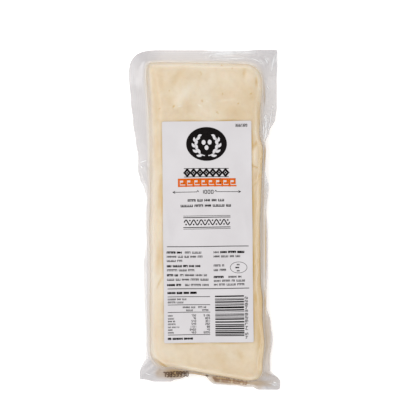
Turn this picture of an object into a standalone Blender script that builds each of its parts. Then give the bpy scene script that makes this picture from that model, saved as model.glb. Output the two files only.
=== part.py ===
"""A vacuum-packed block of halloumi: the cheese shut in a clear bag, and a paper label on its face.

The pack lies on its back with the label up. X runs across it, Y along it towards the top of the
label, and Z up from the table. The origin is on the table, under the middle of the pack's outline.
"""

import bmesh
import bpy
import numpy as np

MM = 0.001

# The cheese: the corners of its widest line as x, y and corner radius, and its heights above the table.
BLOCK_BOTTOM_LEFT = (-42.2, -113.5, 14.0)
BLOCK_BOTTOM_RIGHT = (45.0, -124.0, 9.0)
BLOCK_TOP_LEFT = (-45.0, 121.5, 5.0)
BLOCK_TOP_RIGHT = (44.6, 120.5, 14.0)
BLOCK_HEIGHT = 34.0
SEAM_HEIGHT = 15.0
TOP_SHOULDER = 6.0
BASE_SHOULDER = 4.0
WALL_TILT = np.radians(10.0)
FACE_RELIEF = 0.35

# How far the long sides swell out from a straight line between those corners, as y and swell.
SWELL_LEFT = (
    (-99, 0.0),
    (-70, -0.2),
    (-38, -0.9),
    (-10, -0.9),
    (28, -1.7),
    (60, -1.9),
    (86, -1.1),
    (108, 0.0),
)
SWELL_RIGHT = (
    (-112, 0.0),
    (-95, 1.6),
    (-75, 0.1),
    (-62, 0.3),
    (-46, -1.4),
    (-4, -1.7),
    (18, -0.8),
    (40, 0.0),
    (53, 0.8),
    (68, -2.2),
    (80, -1.5),
    (104, 0.0),
)

# The sealed edge of the bag: its flat width on each side, and how the two films part at the cheese.
FILM_THICKNESS = 0.6
SEAL_LEFT = 13.6
SEAL_RIGHT = 12.2
SEAL_TOP = 9.6
SEAL_BOTTOM = 10.8
TENT_HEIGHT = 2.4
TENT_REACH = 4.0
BEND_SHARE = 0.24
LEAST_BEND = np.radians(9.0)
MOST_BEND = np.radians(98.0)
RIPPLE = 0.7

# Where the edge lies in plan: y and x on the long sides, x and y on the ends. Where it lies closer to
# the cheese than the flat width, the seal is bent down against the cheese's side.
EDGE_LEFT = (
    (-99, -44.0),
    (-80, -44.5),
    (-46, -45.3),
    (-30, -46.0),
    (-15, -43.9),
    (5, -44.9),
    (18, -44.0),
    (29, -47.8),
    (38, -50.4),
    (50, -50.6),
    (73, -54.4),
    (92, -56.2),
    (114, -58.1),
)
EDGE_RIGHT = (
    (-114, 50.4),
    (-107, 50.4),
    (-92, 52.3),
    (-79, 50.8),
    (-66, 47.8),
    (-54, 47.8),
    (-42, 48.6),
    (-12, 48.6),
    (8, 47.6),
    (26, 49.4),
    (38, 47.0),
    (60, 47.0),
    (68, 49.8),
    (78, 54.4),
    (86, 55.5),
    (105, 55.5),
)
EDGE_BOTTOM = (
    (-28, -124.5),
    (-20, -122.4),
    (-9, -118.2),
    (-2, -119.2),
    (8, -126.3),
    (22, -127.0),
    (36, -128.8),
)
EDGE_TOP = ((-38, 130.1), (-4, 130.3), (12, 129.9), (30, 129.9))

# The tabs at the four corners: the corner's x and y, how square it is, and between which two angles
# from the side the edge runs out to it.
TAB_BOTTOM_LEFT = (-49.4, -122.5, 30.0, 18.0, 40.0)
TAB_BOTTOM_RIGHT = (58.1, -130.5, 30.0, 10.0, 26.0)
TAB_TOP_LEFT = (-58.1, 130.2, 2.2, 5.0, 30.0)
TAB_TOP_RIGHT = (56.2, 130.6, 40.0, 5.0, 30.0)

# The paper label.
LABEL_WIDTH = 68.5
LABEL_LENGTH = 170.0
LABEL_CENTRE = (2.5, -9.2)
LABEL_TURN = np.radians(0.6)
LABEL_THICKNESS = 0.3
LABEL_GAP = 0.3

# The mesh: cells across and along the face, and rings on the side of the cheese and on the sealed edge.
FACE_CELLS = (8, 28)
WALL_RINGS = 6
SEAL_RINGS = 4
LABEL_CELLS = (8, 20)


def smooth(t):
    """Smoothstep: 0 at or below 0, 1 at or above 1, level at both ends."""
    t = np.clip(t, 0.0, 1.0)
    return t * t * (3.0 - 2.0 * t)


def along(stations, place):
    """The value at a place between stations, easing from each station to the next."""
    places, values = np.array(stations, float).T
    i = np.clip(np.searchsorted(places, place) - 1, 0, len(places) - 2)
    t = smooth((place - places[i]) / (places[i + 1] - places[i]))
    return values[i] + (values[i + 1] - values[i]) * t


def four_way(p, q, bottom_left, bottom_right, top_left, top_right):
    """The value at p across and q up, bilinear between the four corners' values."""
    low = bottom_left + (bottom_right - bottom_left) * p
    high = top_left + (top_right - top_left) * p
    return low + (high - low) * q


def face_relief(x, y):
    """Shallow hollows and swells of the pressed curd, as three crossing waves."""
    return FACE_RELIEF * (
        np.sin(x / 13.0 + y / 31.0 + 0.6)
        + 0.7 * np.sin(y / 17.0 - x / 29.0 + 2.1)
        + 0.5 * np.sin(x / 9.0 - y / 12.0)
    )


def bend_for(share):
    """The bend that leaves this share of a seal's width in plan. The seal turns down over its first
    part, and is straight beyond."""
    bends = np.linspace(LEAST_BEND, MOST_BEND, 40)
    steps = (np.arange(60) + 0.5) / 60
    shares = np.cos(bends[:, None] * smooth(steps / BEND_SHARE)).mean(1)
    return np.interp(share, shares[::-1], bends[::-1])


def seal_path(bend, place):
    """Plan reach and drop, as shares of the seal's width, at a place from 0 at its root to 1 at its tip."""
    steps = (np.arange(24) + 0.5) / 24
    turn = bend[:, None] * smooth(place[:, None] * steps / BEND_SHARE)
    return place * np.cos(turn).mean(1), place * np.sin(turn).mean(1)


def sheet_places(u, v):
    """Reads a grid over -1 to 1 as the bag's sheet: the point of the flat face under each vertex, the
    way outwards, the rings passed beyond the face, and the place around the corner."""
    rings = WALL_RINGS + SEAL_RINGS
    column = (u + 1) / 2 * (FACE_CELLS[0] + 2 * rings) - rings
    row = (v + 1) / 2 * (FACE_CELLS[1] + 2 * rings) - rings
    out_x = column - np.clip(column, 0, FACE_CELLS[0])
    out_y = row - np.clip(row, 0, FACE_CELLS[1])
    p = np.clip(column / FACE_CELLS[0], 0, 1)
    q = np.clip(row / FACE_CELLS[1], 0, 1)
    ring = np.maximum(abs(out_x), abs(out_y))
    wide = abs(out_x) >= abs(out_y)
    least = np.minimum(abs(out_x), abs(out_y)) / np.maximum(ring, 1e-9)
    angle = np.where(wide, least, 2 - least) * np.pi / 4
    way = np.stack(
        [
            np.where(out_x < 0, -1, 1) * np.cos(angle),
            np.where(out_y < 0, -1, 1) * np.sin(angle),
        ]
    )
    return p, q, way, ring, angle


def edge_distance(x, y, way, angle):
    """The distance in plan from the flat face's outline to the bag's edge, straight outwards, from the
    side's line or the corner's tab."""
    left, low = way[0] < 0, way[1] < 0
    side = abs(np.where(left, along(EDGE_LEFT, y), along(EDGE_RIGHT, y)) - x)
    end = abs(np.where(low, along(EDGE_BOTTOM, x), along(EDGE_TOP, x)) - y)
    tabs = np.where(
        left[:, None],
        np.where(low[:, None], TAB_BOTTOM_LEFT, TAB_TOP_LEFT),
        np.where(low[:, None], TAB_BOTTOM_RIGHT, TAB_TOP_RIGHT),
    )
    start, full = np.radians(tabs[:, 3:]).T
    across = side + (abs(tabs[:, 0] - x) - side) * smooth((angle - start) / (full - start))
    from_end = np.pi / 2 - angle
    up = end + (abs(tabs[:, 1] - y) - end) * smooth((from_end - start) / (full - start))
    square = tabs[:, 2]
    inverse = (abs(way[0]) / across) ** square + (abs(way[1]) / up) ** square
    return inverse ** (-1 / square)


def film_sheet(u, v, upper):
    """One film of the bag as drawn down by the vacuum: flat over the face, round the shoulder, down the
    side to the seam, and out along the sealed edge. The lower film is the same from below."""
    p, q, way, ring, angle = sheet_places(u, v)
    corners = np.array(
        [BLOCK_BOTTOM_LEFT, BLOCK_BOTTOM_RIGHT, BLOCK_TOP_LEFT, BLOCK_TOP_RIGHT]
    )
    signs = np.array([(1, 1), (-1, 1), (1, -1), (-1, -1)])
    cores = corners[:, :2] + signs * corners[:, 2:]
    x, y = (four_way(p, q, *cores[:, k]) for k in (0, 1))
    swell = np.where(way[0] < 0, along(SWELL_LEFT, y), along(SWELL_RIGHT, y))
    radius = four_way(p, q, *corners[:, 2]) + swell * np.cos(angle) ** 2

    film = FILM_THICKNESS / 2
    face = BLOCK_HEIGHT if upper else 0.0
    seam = SEAM_HEIGHT + (TENT_HEIGHT + film) * (1 if upper else -1)
    lean = abs(face - seam) * np.tan(WALL_TILT) * 0.8
    turn = np.pi / 2 - WALL_TILT
    shoulder = np.minimum(
        TOP_SHOULDER if upper else BASE_SHOULDER, (radius - lean) / np.sin(turn)
    )
    flat = radius - lean - shoulder * np.sin(turn)
    down = ring / WALL_RINGS
    arc = turn * np.clip((down - 1 / 6) / 0.5, 0, 1)
    fall = np.clip((down - 2 / 3) * 3, 0, 1)
    arc_depth = shoulder * (1 - np.cos(arc))
    depth = arc_depth + (abs(face - seam) - arc_depth) * fall
    out = flat * np.clip(down * 6, 0, 1) + shoulder * np.sin(arc) + lean * fall
    height = face - depth * np.sign(face - seam)

    place = np.clip((ring - WALL_RINGS) / SEAL_RINGS, 0, 1) ** 1.5
    reach = np.maximum(edge_distance(x, y, way, angle) - radius, 0.5)
    side_width = np.where(way[0] < 0, SEAL_LEFT, SEAL_RIGHT)
    end_width = np.where(way[1] < 0, SEAL_BOTTOM, SEAL_TOP)
    width = side_width * np.cos(angle) ** 2 + end_width * np.sin(angle) ** 2
    width = np.maximum(width, reach * 1.012)
    bend = bend_for(reach / width)
    plan, drop = seal_path(bend, place)
    parting = film + TENT_HEIGHT * np.clip(1 - place * width / TENT_REACH, 0, 1) ** 2
    turned = bend * smooth(place / BEND_SHARE)
    side = 1 if upper else -1
    ripple = RIPPLE * place**2 * np.sin(x / 5.5 + y / 7.0) * np.cos(bend) ** 2
    on_seal = ring > WALL_RINGS
    seal_out = radius + plan * width + side * parting * np.sin(turned)
    seal_height = SEAM_HEIGHT - drop * width + side * parting * np.cos(turned) + ripple
    out = np.where(on_seal, seal_out, out)
    height = np.where(on_seal, seal_height, height)
    if upper:
        height = height + face_relief(x + way[0] * out, y + way[1] * out) * (1 - fall) * (
            1 - place
        )
    return np.stack([x + way[0] * out, y + way[1] * out, height], 1)


def outline_centre():
    """The middle of the bag's outline in plan, which becomes the origin."""
    edge = np.linspace(-1, 1, 801)
    rim = np.concatenate(
        [
            film_sheet(u, v, True)
            for u, v in (
                (edge, -np.ones(801)),
                (edge, np.ones(801)),
                (-np.ones(801), edge),
                (np.ones(801), edge),
            )
        ]
    )
    return (rim[:, :2].min(0) + rim[:, :2].max(0)) / 2


def move_vertices(bm, places):
    """Puts the vertices of a bmesh at these places, given in millimetres."""
    for vertex, place in zip(bm.verts, places * MM):
        vertex.co = place


def grid_places(bm):
    """The vertices' x and y as two arrays."""
    return np.array([vertex.co[:2] for vertex in bm.verts]).T


def film_mesh(upper, centre):
    """A mesh of one film, from a grid that is formed over the cheese."""
    bm = bmesh.new()
    rings = WALL_RINGS + SEAL_RINGS
    bmesh.ops.create_grid(
        bm,
        x_segments=FACE_CELLS[0] + 2 * rings,
        y_segments=FACE_CELLS[1] + 2 * rings,
        size=1.0,
    )
    u, v = grid_places(bm)
    move_vertices(bm, film_sheet(u, v, upper) - np.array([*centre, 0.0]))
    if not upper:
        bmesh.ops.reverse_faces(bm, faces=bm.faces)
    mesh = bpy.data.meshes.new("film")
    bm.to_mesh(mesh)
    bm.free()
    return mesh


def plain_material(name, colour, roughness):
    """A Principled material of one colour."""
    material = bpy.data.materials.new(name)
    material.use_nodes = True
    shader = material.node_tree.nodes["Principled BSDF"]
    shader.inputs["Base Color"].default_value = (*colour, 1.0)
    shader.inputs["Roughness"].default_value = roughness
    shader.inputs["Metallic"].default_value = 0.0
    return material


def add_object(name, bm, material, parts):
    """An object of this mesh in the parts' collection."""
    mesh = bpy.data.meshes.new(name)
    bm.to_mesh(mesh)
    bm.free()
    mesh.materials.append(material)
    mesh.shade_smooth()
    mesh.set_sharp_from_angle(angle=np.radians(50.0))
    piece = bpy.data.objects.new(name, mesh)
    parts.objects.link(piece)
    return piece


def build_bag(parts, centre):
    """The sealed bag with the cheese in it: an upper and a lower film, joined along their rim."""
    bm = bmesh.new()
    for upper in (True, False):
        film = film_mesh(upper, centre)
        bm.from_mesh(film)
        bpy.data.meshes.remove(film)
    rim = [edge for edge in bm.edges if edge.is_boundary]
    bmesh.ops.bridge_loops(bm, edges=rim)
    bmesh.ops.recalc_face_normals(bm, faces=bm.faces)
    cream = plain_material("cheese in clear film", (0.86, 0.74, 0.54), 0.25)
    return add_object("bag", bm, cream, parts)


def build_label(parts, centre):
    """The paper label, laid on the bag's face and following its hollows and swells."""
    bm = bmesh.new()
    bmesh.ops.create_grid(
        bm, x_segments=LABEL_CELLS[0], y_segments=LABEL_CELLS[1], size=0.5
    )
    across, up = grid_places(bm) * np.array([[LABEL_WIDTH], [LABEL_LENGTH]])
    x = LABEL_CENTRE[0] + across * np.cos(LABEL_TURN) - up * np.sin(LABEL_TURN)
    y = LABEL_CENTRE[1] + across * np.sin(LABEL_TURN) + up * np.cos(LABEL_TURN)
    height = BLOCK_HEIGHT + face_relief(x, y) + LABEL_GAP
    move_vertices(bm, np.stack([x - centre[0], y - centre[1], height], 1))
    paper = plain_material("label paper", (0.80, 0.79, 0.80), 0.5)
    label = add_object("label", bm, paper, parts)
    thickness = label.modifiers.new("thickness", "SOLIDIFY")
    thickness.thickness = LABEL_THICKNESS * MM
    thickness.offset = 1.0
    return label


def build():
    """Clears the scene and makes the pack."""
    for old in list(bpy.data.objects):
        bpy.data.objects.remove(old)
    parts = bpy.data.collections.new("halloumi_pack")
    bpy.context.scene.collection.children.link(parts)
    centre = outline_centre()
    build_bag(parts, centre)
    build_label(parts, centre)


build()
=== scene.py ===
import bpy
import numpy as np
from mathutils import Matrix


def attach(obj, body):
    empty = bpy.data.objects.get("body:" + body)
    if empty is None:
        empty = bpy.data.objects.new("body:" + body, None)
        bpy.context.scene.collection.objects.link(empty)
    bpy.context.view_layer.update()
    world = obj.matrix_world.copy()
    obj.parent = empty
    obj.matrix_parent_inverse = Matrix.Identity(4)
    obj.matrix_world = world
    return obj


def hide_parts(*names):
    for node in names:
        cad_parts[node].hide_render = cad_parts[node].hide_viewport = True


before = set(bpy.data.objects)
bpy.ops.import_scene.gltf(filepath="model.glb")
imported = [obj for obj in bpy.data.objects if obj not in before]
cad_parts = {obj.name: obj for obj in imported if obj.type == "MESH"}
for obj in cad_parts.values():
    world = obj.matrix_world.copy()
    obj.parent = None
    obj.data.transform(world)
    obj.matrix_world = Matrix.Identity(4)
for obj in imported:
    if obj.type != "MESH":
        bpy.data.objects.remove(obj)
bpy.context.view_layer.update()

# The cheese: one long block of pressed curd, cut straight at its head and on a skew at its foot.
# It is pale cream and soft, with shallow dents, pores and folds, and yellower where whey gathers.
# Its colour also carries painted shade in the hollows and down the right side, and painted
# highlights on the swellings.

MM = 0.001
# The face's corners, at the foot from the left and then at the head: x, y, radius and squareness.
BLOCK_CORNERS = np.array([
    (-42.2, -113.5, 16, 2.34),
    (45, -124, 14, 3.3),
    (-45, 121.5, 14, 6.3),
    (44.6, 120.5, 16, 2.34),
])
BLOCK_HEIGHT = 34.0
SEAM_HEIGHT = 15.0
SHOULDER_LEFT = 9.0
SHOULDER_RIGHT = 5.5
SHOULDER_ENDS = 5.5
BASE_SHOULDER = 4.0
WALL_TILT = np.radians(10)
# The wall takes about this part of the drop, and at least this much of a corner stays flat.
WALL_PART, LEAST_FLAT = 0.8, 0.3
FILM_GAP = 0.2
# How far down the side, from 0 at the face to 1 at the seam, the shoulder and the wall start.
SHOULDER_START, WALL_START = 1 / 6, 2 / 3
# How far each long side stands out past its corners: y and swell.
SWELL_LEFT = (
    (-99, 0), (-70, -0.2), (-38, -0.9), (-10, -0.9), (28, -1.7), (60, -1.9), (86, -1.1),
    (108, 0),
)
SWELL_RIGHT = (
    (-112, 0), (-95, 1.6), (-75, 0.1), (-62, 0.3), (-46, -1.4), (-4, -1.7), (18, -0.8),
    (40, 0), (53, 0.8), (68, -2.2), (80, -1.5), (104, 0),
)

# Folds and dents in the upper face, and strokes of painted shade down its right side: from x, y to
# x, y, half width, depth, and how yellow, which is whey colour and painted shade.
FOLDS_AND_SHADE = np.array([
    (-16.3, 116, -24.5, 102.5, 3.2, 0.35, 0.35), (-33.5, 109, -31, 96, 3.5, 0.15, 0.2),
    (-28, 97, -24, 88, 3, 0.15, 0.2), (-36, 112, -35.6, 76, 3, 0, 0.22),
    (30, 112, 37, 76, 8, 0, 0.2), (-12, 92, -10, 80, 4, 0.12, 0.12),
    (30.4, 115, 30.6, 110, 1.5, 0.4, 0.7), (39.7, 108.5, 40, 103, 1.3, 0.3, 0.75),
    (36, 100, 36.5, 90, 3.5, 0.25, 0.45), (8, 99, 32, 95, 4, 0.15, 0.2),
    (14, 85, 34, 80, 6, 0.12, 0.25), (40.8, 98, 42.5, 60, 1.8, 0.2, 0.6),
    (36.9, 41.6, 42.2, 39.3, 0.6, 0.6, 1), (41.5, 62, 37.2, 55, 1.4, 0.4, 0.7),
    (43.9, 56, 44.6, 49, 0.9, 0.8, 0.9), (44.6, 49, 43, 45, 0.9, 0.8, 0.9),
    (43, 45, 43.9, 39, 0.9, 0.7, 0.8), (43.4, 37, 42, 31, 1.5, 0.9, 1),
    (42.6, 30, 44, 8, 1, 0.3, 0.6), (37.4, 25.5, 41.8, 31, 0.8, 0.4, 0.6),
    (39.6, -4, 39.8, -10.5, 1.3, 0.4, 0.8), (37.6, -38, 42.6, -29.5, 0.9, 0.4, 0.75),
    (39.6, -52, 40.2, -66, 2.4, 0.3, 0.8), (37.2, -16, 41.5, -18.5, 0.8, 0.3, 0.5),
    (42.5, -24, 43, -60, 1.6, 0.4, 0.6), (42.6, 74, 42.8, 2, 2.1, 0, 0.75),
    (43.6, 30, 43.4, -74, 4.4, 0.7, 0.5), (40.4, 36, 40.2, -74, 4, 0, 0.5),
    (44, -44, 43.6, -80, 2.4, 0.9, 0.85), (42.8, 14, 42.3, -80, 2.4, 0, 0.85),
    (42.8, -40, 43.4, -116, 3, 0, 0.85), (-26, -116.5, 44, -124, 2.4, 0, 0.5),
    (45, -93, 43, -101, 1, 0.8, 1), (43.2, -99, 41.6, -117.5, 1.1, 0.9, 1),
    (-37, -107.5, -26.5, -115, 1, 0.6, 1), (-33.4, 34, -34.6, 10, 1.2, 0.3, 0.7),
    (-34, -18, -36, -40, 2, 0.15, 0.45), (-33, -44, -36.5, -52, 0.7, 0.15, 0.7),
    (25, -100, 30, -108, 2, 0.2, 0.3), (8, -98, 16, -114, 4, 0.15, 0.25),
    (-14, -98, -10, -112, 4, 0.15, 0.15),
])
# Swellings between them, and painted highlights: from x, y to x, y, half width, depth, which is
# negative, and how pale, which is paler curd and painted sheen and glints.
CRESTS_AND_HIGHLIGHTS = np.array([
    (-8.6, 104, -21.4, 89.6, 3.6, -0.3, 0.75), (-17.5, 91.5, -20.5, 87.5, 2.2, -0.2, 0.7),
    (5.5, 115, 7, 104, 3.4, -0.12, 0.3), (-44, 117.8, 30, 117.4, 3.2, 0, 0.5),
    (-37, -86, -36, -110, 5, 0, 0.4), (10.8, 90.8, 23.4, 92.6, 1, -0.2, 0.4),
    (34, 118, 34.5, 104, 3, -0.16, 0.35), (22, 112, 19, 104, 4.5, -0.1, 0.3),
    (-38, 118.5, -30, 115.5, 1.8, -0.1, 0.3), (-42.4, 114, -42.2, 36, 1.8, 0, 0.5),
    (-37.8, 36, -37.2, -92, 2.7, 0, 0.45), (-33, -97, -24, -103, 6, 0, 0.5),
    (40, 60, 39.7, 37, 2.2, -0.35, 0.7), (39.5, 29, 40.5, 12, 1.8, -0.3, 0.4),
    (40.2, -22, 39.4, -29, 1.7, -0.35, 0.4), (41, -36, 40.4, -46, 1.7, -0.3, 0.3),
    (-24, -95, 0, -106, 6, -0.1, 0.25), (-33.4, 24.4, -33.2, 19, 0.9, -0.3, 1),
    (-5, 88.6, -1.8, 86.8, 0.6, -0.15, 1.3), (-20.8, 86.7, -17.4, 87.6, 0.6, -0.12, 1.2),
    (-37, 117.8, -35.8, 116.4, 0.6, -0.1, 1.2), (0.9, 91.7, 3.1, 90.3, 0.5, -0.1, 1),
])
# Open pores in the curd: x, y, half length, half width, turn.
PORE_DEPTH = 0.2
PORES = np.array([
    (-2.8, 112.6, 1.1, 0.45, 2.1), (-9.5, 111, 0.7, 0.4, 0.4), (-1.8, 91.2, 1.1, 0.5, 2.1),
    (-23.6, 87, 1.1, 0.6, 0.9), (-34.8, 85.1, 0.7, 0.5, 1), (25.9, 89.4, 0.9, 0.45, 0.8),
    (9.8, 82.4, 1.5, 0.35, 2.4), (13.7, 96.4, 0.6, 0.35, 1.2), (13.3, 118.7, 1.1, 0.4, 2),
    (21.4, 116.3, 0.6, 0.35, 1), (36, 96.9, 0.8, 0.4, 1.3), (-27, 99, 0.5, 0.3, 0.6),
])


def ease(t):
    """Smoothstep: 0 up to 0, 1 from 1 on, level at both ends."""
    t = np.clip(t, 0.0, 1.0)
    return t * t * (3.0 - 2.0 * t)


def along(stations, place):
    """The value at a place between stations, easing from each to the next."""
    places, values = np.array(stations, float).T
    i = np.clip(np.searchsorted(places, place) - 1, 0, len(places) - 2)
    t = ease((place - places[i]) / (places[i + 1] - places[i]))
    return values[i] + (values[i + 1] - values[i]) * t


def pack_grid(face_across, face_along, wall, seal):
    """Grid numbers over the pack, across and along: 0 to 1 over the flat face, 1 more down the
    side, and for the bag 1 more out to the edge of its seal."""

    def line(cells):
        bands = [(-1, 0, wall), (0, 1, cells), (1, 2, wall)]
        if seal:
            bands = [(-2, -1, seal), *bands, (2, 3, seal)]
        steps = [np.linspace(*band, endpoint=False) for band in bands]
        return np.append(np.concatenate(steps), bands[-1][1])

    return np.meshgrid(line(face_across), line(face_along))


def outwards(a, b):
    """Reads grid numbers as a place on the flat face, the way straight out from there, the rings
    passed on that way, and the angle round the corner from the long side."""
    p, q = np.clip(a, 0, 1), np.clip(b, 0, 1)
    out_x, out_y = a - p, b - q
    ring = np.maximum(abs(out_x), abs(out_y))
    least = np.minimum(abs(out_x), abs(out_y)) / np.maximum(ring, 1e-9)
    angle = np.where(abs(out_x) >= abs(out_y), least, 2 - least) * np.pi / 4
    way_x = np.where(out_x < 0, -1, 1) * np.cos(angle)
    way_y = np.where(out_y < 0, -1, 1) * np.sin(angle)
    return p, q, np.stack([way_x, way_y]), ring, angle


def from_corners(values, p, q):
    """Bilinear between the four corners' values, at p across and q up."""
    low = values[0] + (values[1] - values[0]) * p
    high = values[2] + (values[3] - values[2]) * p
    return low + (high - low) * q


def block_plan(p, q, way, angle):
    """The point of the face's outline under a place, the distance from it to the block's side,
    which is a superellipse's round a corner, and the shoulder's size there."""
    inwards = np.array([(1, 1), (-1, 1), (1, -1), (-1, -1)])
    cores = BLOCK_CORNERS[:, :2] + inwards * BLOCK_CORNERS[:, 2:3]
    x = from_corners(cores[:, 0], p, q)
    y = from_corners(cores[:, 1], p, q)
    swell = np.where(way[0] < 0, along(SWELL_LEFT, y), along(SWELL_RIGHT, y))
    square = from_corners(BLOCK_CORNERS[:, 3], p, q)
    round_off = (abs(way[0]) ** square + abs(way[1]) ** square) ** (-1 / square)
    radius = from_corners(BLOCK_CORNERS[:, 2], p, q) * round_off + swell * np.cos(angle) ** 2
    beside = np.where(way[0] < 0, SHOULDER_LEFT, SHOULDER_RIGHT)
    shoulder = beside * np.cos(angle) ** 2 + SHOULDER_ENDS * np.sin(angle) ** 2
    shoulder = shoulder * (1 + 0.1 * np.sin(y / 11) + 0.08 * np.sin(x / 6 + y / 23))
    return x, y, radius, shoulder


# The shoulder's bend in steps: how far it has turned, gone out and fallen, as shares of its width.
SHOULDER_STEPS = np.linspace(0, 1, 81)
SHOULDER_TURNS = (np.pi / 2 - WALL_TILT) * ease((SHOULDER_STEPS[1:] + SHOULDER_STEPS[:-1]) / 2)
SHOULDER_OUT = np.append(0, np.cumsum(np.cos(SHOULDER_TURNS)))
SHOULDER_FALL = np.append(0, np.cumsum(np.sin(SHOULDER_TURNS))) / SHOULDER_OUT[-1]
SHOULDER_OUT = SHOULDER_OUT / SHOULDER_OUT[-1]


def wall_share(down):
    """The share of the wall that is passed: 0 down to its top, and 1 at the seam."""
    return np.clip((down - WALL_START) / (1 - WALL_START), 0, 1)


def side_profile(down, radius, drop, shoulder):
    """How far out and how far down the side's profile is: flat to the shoulder, over it on a bend
    that starts and ends gently, and straight down a leaning wall."""
    lean = drop * WALL_PART * np.tan(WALL_TILT)
    shoulder = np.minimum(shoulder, radius - lean - LEAST_FLAT)
    step = np.clip((down - SHOULDER_START) / (WALL_START - SHOULDER_START), 0, 1)
    fall = wall_share(down)
    over = shoulder * np.interp(step, SHOULDER_STEPS, SHOULDER_FALL)
    out = (radius - lean - shoulder) * np.clip(down / SHOULDER_START, 0, 1) + lean * fall
    out = out + shoulder * np.interp(step, SHOULDER_STEPS, SHOULDER_OUT)
    return out, over + (drop - over) * fall


def face_relief(x, y):
    """Shallow hollows and swells of the pressed curd, as three crossing sine waves."""
    return 0.35 * (
        np.sin(x / 13 + y / 31 + 0.6)
        + 0.7 * np.sin(y / 17 - x / 29 + 2.1)
        + 0.5 * np.sin(x / 9 - y / 12)
    )


def swells(places, seed, shortest, longest):
    """28 sine waves in random directions through space, added up. A longer one is higher."""
    rng, count = np.random.default_rng(seed), 28
    way = rng.normal(size=(count, 3))
    way /= np.linalg.norm(way, axis=1)[:, None]
    length = rng.uniform(shortest, longest, count)
    turn = places @ (way * (2 * np.pi / length)[:, None]).T + rng.uniform(0, 6.28, count)
    height = length / longest
    return (np.sin(turn) * height).sum(-1) / np.sqrt((height**2).sum() / 2)


def curd(places):
    """The soft lumps that the curd's grains leave: broad ones 0.1 high and small ones 0.02."""
    return 0.1 * swells(places, 3, 14, 34) + 0.02 * swells(places, 5, 5, 11)


def strokes_field(places, strokes, power=2):
    """For each soft stroke: e to the minus (distance over half width) to a power, whole at its
    middle and about half as much at its ends."""
    x, y = places[..., :1], places[..., 1:2]
    x0, y0, x1, y1, half = strokes.T[:5]
    dx, dy = x1 - x0, y1 - y0
    t = np.clip(((x - x0) * dx + (y - y0) * dy) / (dx**2 + dy**2), 0, 1)
    gap = np.hypot(x - x0 - t * dx, y - y0 - t * dy) / half
    return np.exp(-(gap**power)) * (0.35 + 0.65 * np.sin(np.pi * np.clip(t, 0.08, 0.92)))


def strongest(places, strokes, power=2):
    """The strongest stroke at each place, each stroke times the number that ends its row."""
    return (strokes_field(places, strokes, power) * strokes[:, -1]).max(-1)


def heights_of(places, strokes):
    """The strokes' heights or depths at each place, added up."""
    return (strokes_field(places, strokes) * strokes[:, 5]).sum(-1)


def pore_field(places):
    """1 inside the pores, falling off steeply at their edges."""
    x0, y0, length, width, turn = PORES.T
    dx, dy = places[..., :1] - x0, places[..., 1:2] - y0
    s = (dx * np.cos(turn) + dy * np.sin(turn)) / length
    t = (dy * np.cos(turn) - dx * np.sin(turn)) / width
    return np.exp(-((s**2 + t**2) ** 1.5)).max(-1)


def normals_of(surface, a, b):
    """Unit normals of a surface of a and b, crossed from two short steps inwards."""
    step = 0.002
    step_a, step_b = np.where(a > 0.5, -step, step), np.where(b > 0.5, -step, step)
    here = surface(a, b)
    along_a = (surface(a + step_a, b) - here) / step_a[..., None]
    along_b = (surface(a, b + step_b) - here) / step_b[..., None]
    normals = np.cross(along_a, along_b)
    return normals / np.maximum(np.linalg.norm(normals, axis=-1), 1e-9)[..., None]


def block_surface(a, b, upper):
    """The block's surface above or below its widest line, set in under the film by the gap."""
    p, q, way, ring, angle = outwards(a, b)
    x, y, radius, shoulder = block_plan(p, q, way, angle)
    face = BLOCK_HEIGHT - FILM_GAP if upper else FILM_GAP
    shoulder = shoulder if upper else BASE_SHOULDER
    out, depth = side_profile(ring, radius - FILM_GAP, abs(face - SEAM_HEIGHT), shoulder)
    x, y = x + way[0] * out, y + way[1] * out
    if upper:
        z = face - depth + face_relief(x, y) * (1 - wall_share(ring))
    else:
        z = face + depth
    return np.stack([x, y, z], -1)


def hollows(places):
    """How far the upper face's folds and crests stand off it."""
    return -(heights_of(places, FOLDS_AND_SHADE) + heights_of(places, CRESTS_AND_HIGHLIGHTS))


def kept(ring):
    """The share of a lump or fold that is left: 1 over the face, easing to 0 at the seam."""
    return 1 - ease((ring - 0.75) / 0.25)


def off_base(ring):
    """0 where the pack rests on its base, easing to 1 up the side."""
    return ease((ring - 0.1) / 0.4)


def cheese_sheet(a, b, upper):
    """The upper or the lower half of the cheese, with how yellow it is, from whey and painted
    shade, and how pale, from paler curd and painted highlights.
    """
    places = block_surface(a, b, upper)
    ring = outwards(a, b)[3]
    yellow = pale = np.zeros_like(ring)
    if upper:
        pores = pore_field(places)
        lift = curd(places) + hollows(places) - PORE_DEPTH * pores
        # Yellow: whey colour and painted shade in the folds and pores, painted shade down the right
        # side, and the line along the label's edges.
        yellow = strongest(places, FOLDS_AND_SHADE) + pores + label_edge(places)
        # Pale: paler curd, and painted highlights and sheen on swellings and shoulders.
        pale = strongest(places, CRESTS_AND_HIGHLIGHTS)
    else:
        lift = -curd(places) * off_base(ring)
    normals = normals_of(lambda a, b: block_surface(a, b, upper), a, b)
    return places + normals * (lift * kept(ring))[..., None], yellow, pale


# The line along the label's edges, whey colour and painted shade in the crease: its middle, half
# sizes, slope, half width and strength.
LABEL_LINE_MIDDLE, LABEL_LINE_HALF, LABEL_LINE_SLOPE = (2.5, -9.2), (34.6, 85.1), 0.0105
LABEL_LINE_SPREAD, LABEL_LINE_STRENGTH = 0.9, 1.2


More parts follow.
